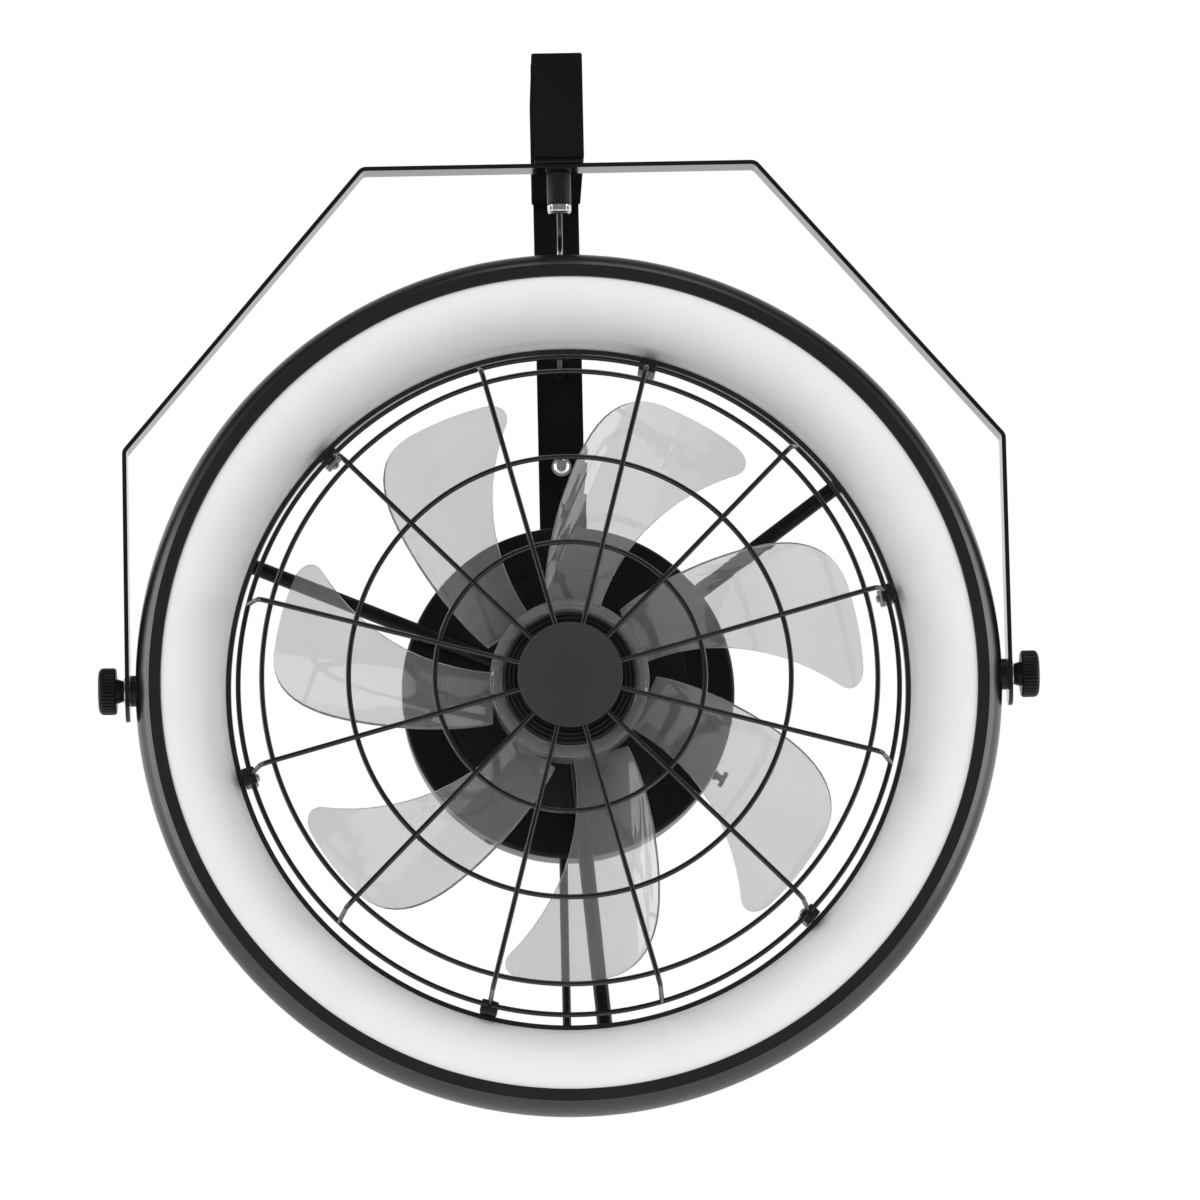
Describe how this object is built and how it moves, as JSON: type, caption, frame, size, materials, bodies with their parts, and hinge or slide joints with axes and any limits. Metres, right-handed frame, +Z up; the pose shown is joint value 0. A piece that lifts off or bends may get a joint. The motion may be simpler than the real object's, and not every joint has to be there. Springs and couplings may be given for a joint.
{
  "type": "wall fan with ring light",
  "caption": "Caged wall fan with clear blades inside an opal ring light, hung in a bent yoke that swivels under a bracket arm.",
  "frame": {"origin": "on the wall, midway between the upper and the lower wall screw", "axes": "+Z up, +X to the viewer's right, +Y into the wall; the fan faces -Y"},
  "size_m": [0.542, 0.227, 0.6411],
  "materials": {
    "black_paint": "satin black powder coat",
    "black_plastic": "black moulded plastic",
    "grey_cap": "dark grey moulded plastic",
    "zinc_steel": "zinc plated",
    "bright_metal": "bright plated",
    "opal": "opal diffuser, satin",
    "clear_grey": "clear smoke-grey plastic",
    "white_plastic": "off-white plastic",
    "light_chip": "yellow phosphor",
    "white_board": "white solder mask on aluminium",
    "green_board": "green solder mask",
    "dark_parts": "moulded electronic parts",
    "iron": "laminated motor iron",
    "magnet": "sintered magnet",
    "copper": "enamelled copper wire",
    "alloy": "turned"
  },
  "bodies": {
    "bracket": {"wall_bar": "black_paint", "bar_end_caps": "black_plastic", "wall_screws": "bright_metal", "wall_screw_washers": "bright_metal", "wall_screw_spacers": "zinc_steel", "cable_grommet": "black_plastic", "bar_connector": "white_plastic", "arm_tube": "black_paint", "arm_end_cap": "black_paint", "arm_root_block": "alloy", "arm_fixing_screws": "zinc_steel", "swivel_spacer": "black_plastic", "swivel_stem": "zinc_steel", "swivel_lock_nut": "zinc_steel", "arm_connector": "white_plastic", "cord_grip_body": "black_plastic", "cord_grip_claw": "bright_metal", "cable_inner_leads": "black_plastic", "mains_cable": "black_plastic", "swivel_washer": "black_plastic"},
    "yoke": {"yoke_bar": "black_paint"},
    "fan": {"ring_housing": "black_paint", "ring_back_cover": "black_paint", "diffuser": "opal", "led_board": "white_board", "led_chips": "light_chip", "housing_screws": "black_plastic", "pivot_bosses": "black_paint", "support_arms": "black_paint", "support_arm_screws": "zinc_steel", "light_lead": "black_plastic", "canopy_shell": "black_paint", "canopy_back_plate": "zinc_steel", "canopy_rim_screws": "black_paint", "driver_standoffs": "zinc_steel", "driver_board": "green_board", "driver_parts": "dark_parts", "remote_receiver": "white_plastic", "canopy_gland": "black_plastic", "motor_base": "alloy", "motor_base_screws": "zinc_steel", "motor_bearings": "zinc_steel", "stator_core": "iron", "stator_coils": "copper", "cage_rings": "black_paint", "cage_rim_wire": "black_paint", "cage_spokes": "black_paint", "cage_clips": "black_plastic", "clip_screws": "zinc_steel", "cage_cap": "grey_cap", "cage_back_plate": "black_paint"},
    "rotor": {"rotor_can": "alloy", "rotor_magnets": "magnet", "motor_shaft": "zinc_steel", "blade_set": "clear_grey", "motor_cover": "black_plastic", "cover_screws": "zinc_steel"},
    "knob_left": {"clamp_knob_left": "black_plastic"},
    "knob_right": {"clamp_knob_right": "black_plastic"},
    "thumb_screw": {"canopy_thumb_screw": "black_paint"}
  },
  "joints": [
    {"name": "yoke_swivel", "type": "hinge", "parent": "bracket", "child": "yoke", "pos_m": [0, -0.146, 0.123], "axis": [0, 0, 1], "range_deg": [-18, 18]},
    {"name": "fan_tilt", "type": "hinge", "parent": "yoke", "child": "fan", "pos_m": [0, -0.146, -0.18], "axis": [1, 0, 0], "range_deg": [-12, 20]},
    {"name": "rotor_spin", "type": "hinge", "parent": "fan", "child": "rotor", "pos_m": [0, -0.146, -0.18], "axis": [0, -1, 0], "continuous": true},
    {"name": "knob_left_turn", "type": "hinge", "parent": "fan", "child": "knob_left", "pos_m": [-0.26, -0.146, -0.18], "axis": [-1, 0, 0], "continuous": true},
    {"name": "knob_right_turn", "type": "hinge", "parent": "fan", "child": "knob_right", "pos_m": [0.26, -0.146, -0.18], "axis": [1, 0, 0], "continuous": true},
    {"name": "thumb_screw_turn", "type": "hinge", "parent": "fan", "child": "thumb_screw", "pos_m": [0.08528, -0.0664, -0.22727], "axis": [0.8746, 0, -0.4848], "continuous": true}
  ]
}
